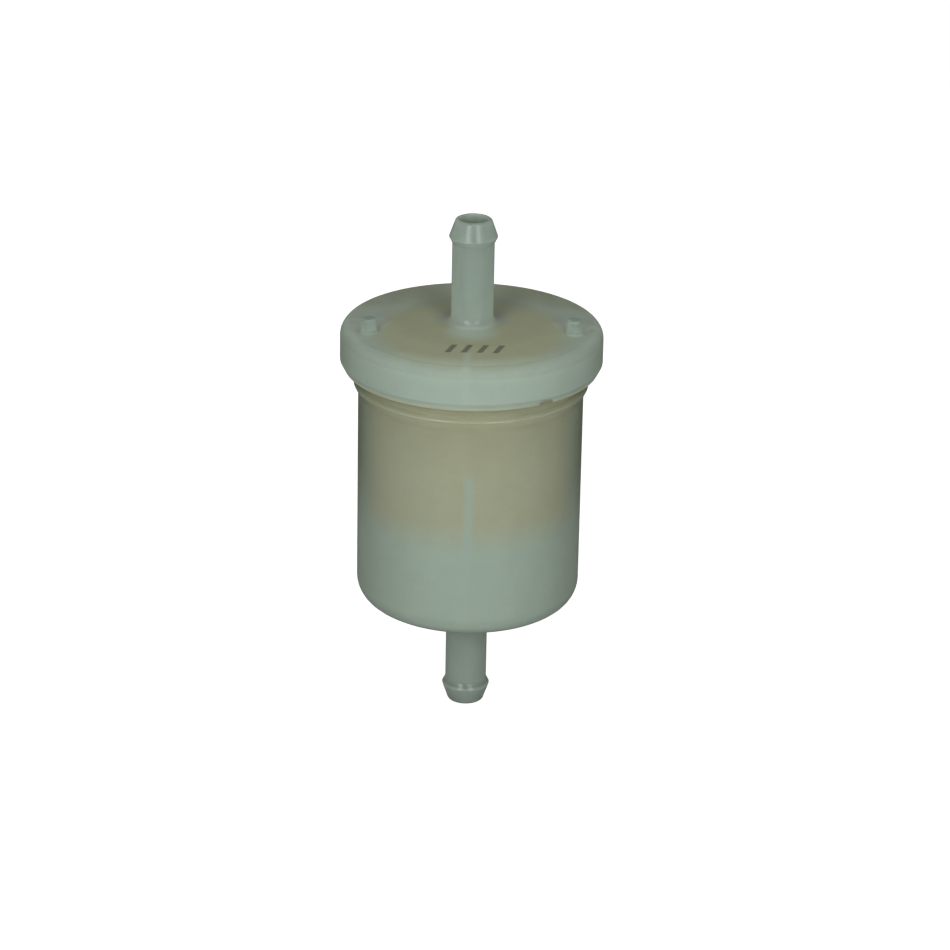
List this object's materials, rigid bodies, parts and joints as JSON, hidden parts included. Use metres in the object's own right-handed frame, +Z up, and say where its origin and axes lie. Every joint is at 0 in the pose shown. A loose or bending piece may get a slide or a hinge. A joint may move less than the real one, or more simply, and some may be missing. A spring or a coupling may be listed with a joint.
{
  "type": "inline fuel filter",
  "caption": "Disposable inline fuel filter: milky moulded bowl and welded cap with barbed hose spigots, around a pleated paper element.",
  "frame": {"origin": "centre of the end face of the lower hose spigot", "axes": "+Z up the filter's axis, from the lower spigot to the upper one; -Y faces the side shown in the picture"},
  "size_m": [0.0406, 0.0406, 0.0805],
  "materials": {
    "bowl_nylon": "satin, translucent milky",
    "cap_nylon": "satin, translucent milky",
    "filter_paper": "matt paper",
    "end_plate": "matt",
    "adhesive": "satin",
    "core_plastic": "matt",
    "seal_rubber": "matt",
    "seam_tape": "matt"
  },
  "bodies": {
    "root": {"bowl": "bowl_nylon", "cap": "cap_nylon", "pleated_paper": "filter_paper", "upper_end_disc": "end_plate", "lower_end_disc": "end_plate", "upper_potting": "adhesive", "lower_potting": "adhesive", "core_tube": "core_plastic", "outlet_seal": "seal_rubber", "seam_strip": "seam_tape"}
  },
  "joints": []
}
